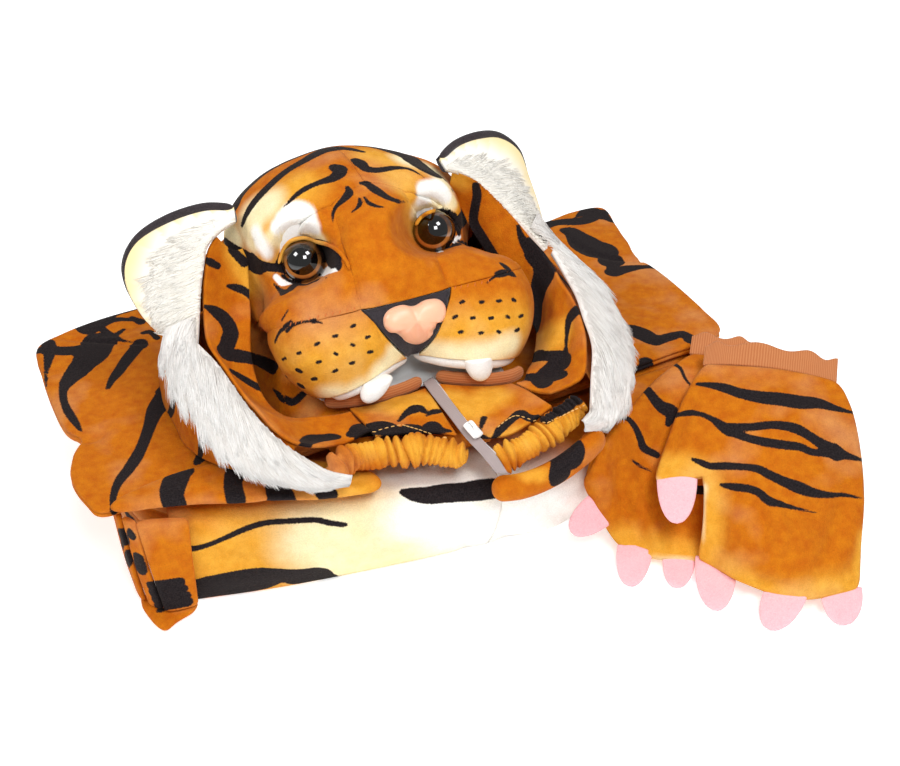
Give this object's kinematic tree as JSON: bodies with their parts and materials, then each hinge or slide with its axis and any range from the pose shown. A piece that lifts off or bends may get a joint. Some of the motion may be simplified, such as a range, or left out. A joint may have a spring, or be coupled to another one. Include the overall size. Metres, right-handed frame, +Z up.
{
  "type": "tiger costume",
  "caption": "Striped plush jumpsuit folded flat, with its padded tiger-head hood on top and a pair of paw mitts laid beside it.",
  "frame": {"origin": "on the surface that it lies on, under the middle of the folded jumpsuit", "axes": "+X to the right of the picture, +Y to the back, +Z up; the tiger's face looks towards -Y"},
  "size_m": [0.4123, 0.3728, 0.1857],
  "materials": {
    "ear_back_left": "short-pile plush",
    "ear_back_right": "short-pile plush",
    "ear_inner_left": "short-pile plush",
    "ear_inner_right": "short-pile plush",
    "fur_trim_left": "long-pile fur",
    "fur_trim_right": "long-pile fur",
    "head_bridge": "short-pile plush",
    "head_cheek_left": "short-pile plush",
    "head_cheek_right": "short-pile plush",
    "head_eye_left": "gloss",
    "head_eye_patch_left": "short-pile plush",
    "head_eye_patch_right": "short-pile plush",
    "head_eye_right": "gloss",
    "head_fang_left": "short-pile plush",
    "head_fang_right": "short-pile plush",
    "head_filling": "fibre filling",
    "head_forehead_left": "short-pile plush",
    "head_forehead_right": "short-pile plush",
    "head_nose": "gloss",
    "head_nose_felt": "felt",
    "head_whisker_pad_left": "short-pile plush",
    "head_whisker_pad_right": "short-pile plush",
    "hood_back_left": "short-pile plush",
    "hood_back_right": "short-pile plush",
    "hood_chin_left": "short-pile plush",
    "hood_chin_right": "short-pile plush",
    "hood_collar_roll": "short-pile plush",
    "hood_face_binding_left": "rib knit",
    "hood_face_binding_right": "rib knit",
    "hood_face_lining": "plain weave",
    "hood_folded_layers": "short-pile plush",
    "hood_gather_left": "short-pile plush",
    "hood_gather_right": "short-pile plush",
    "hood_side_left": "short-pile plush",
    "hood_side_right": "short-pile plush",
    "mitt_front_back": "short-pile plush",
    "mitt_front_claw_a": "felt",
    "mitt_front_claw_b": "felt",
    "mitt_front_claw_c": "felt",
    "mitt_front_claw_thumb": "felt",
    "mitt_front_cuff": "rib knit",
    "mitt_front_palm": "short-pile plush",
    "mitt_rear_back": "short-pile plush",
    "mitt_rear_claw_a": "felt",
    "mitt_rear_claw_b": "felt",
    "mitt_rear_claw_thumb": "felt",
    "mitt_rear_cuff": "rib knit",
    "mitt_rear_palm": "short-pile plush",
    "suit_belly_left": "short-pile plush",
    "suit_belly_right": "short-pile plush",
    "suit_folded_layers": "short-pile plush",
    "suit_front_roll": "short-pile plush",
    "suit_leg_flap": "short-pile plush",
    "suit_leg_fold_front": "short-pile plush",
    "suit_leg_fold_middle": "short-pile plush",
    "suit_leg_hem_tab": "short-pile plush",
    "suit_sleeve_left": "short-pile plush",
    "suit_sleeve_right": "short-pile plush",
    "zip_slider": "gloss",
    "zip_tape": "woven tape"
  },
  "bodies": {
    "root": {"ear_back_left": "ear_back_left", "ear_back_right": "ear_back_right", "ear_inner_left": "ear_inner_left", "ear_inner_right": "ear_inner_right", "fur_trim_left": "fur_trim_left", "fur_trim_right": "fur_trim_right", "head_bridge": "head_bridge", "head_cheek_left": "head_cheek_left", "head_cheek_right": "head_cheek_right", "head_eye_left": "head_eye_left", "head_eye_patch_left": "head_eye_patch_left", "head_eye_patch_right": "head_eye_patch_right", "head_eye_right": "head_eye_right", "head_fang_left": "head_fang_left", "head_fang_right": "head_fang_right", "head_filling": "head_filling", "head_forehead_left": "head_forehead_left", "head_forehead_right": "head_forehead_right", "head_nose": "head_nose", "head_nose_felt": "head_nose_felt", "head_whisker_pad_left": "head_whisker_pad_left", "head_whisker_pad_right": "head_whisker_pad_right", "hood_back_left": "hood_back_left", "hood_back_right": "hood_back_right", "hood_chin_left": "hood_chin_left", "hood_chin_right": "hood_chin_right", "hood_collar_roll": "hood_collar_roll", "hood_face_binding_left": "hood_face_binding_left", "hood_face_binding_right": "hood_face_binding_right", "hood_face_lining": "hood_face_lining", "hood_folded_layers": "hood_folded_layers", "hood_gather_left": "hood_gather_left", "hood_gather_right": "hood_gather_right", "hood_side_left": "hood_side_left", "hood_side_right": "hood_side_right", "mitt_front_back": "mitt_front_back", "mitt_front_claw_a": "mitt_front_claw_a", "mitt_front_claw_b": "mitt_front_claw_b", "mitt_front_claw_c": "mitt_front_claw_c", "mitt_front_claw_thumb": "mitt_front_claw_thumb", "mitt_front_cuff": "mitt_front_cuff", "mitt_front_palm": "mitt_front_palm", "mitt_rear_back": "mitt_rear_back", "mitt_rear_claw_a": "mitt_rear_claw_a", "mitt_rear_claw_b": "mitt_rear_claw_b", "mitt_rear_claw_thumb": "mitt_rear_claw_thumb", "mitt_rear_cuff": "mitt_rear_cuff", "mitt_rear_palm": "mitt_rear_palm", "suit_belly_left": "suit_belly_left", "suit_belly_right": "suit_belly_right", "suit_folded_layers": "suit_folded_layers", "suit_front_roll": "suit_front_roll", "suit_leg_flap": "suit_leg_flap", "suit_leg_fold_front": "suit_leg_fold_front", "suit_leg_fold_middle": "suit_leg_fold_middle", "suit_leg_hem_tab": "suit_leg_hem_tab", "suit_sleeve_left": "suit_sleeve_left", "suit_sleeve_right": "suit_sleeve_right", "zip_slider": "zip_slider", "zip_tape": "zip_tape"}
  },
  "joints": []
}
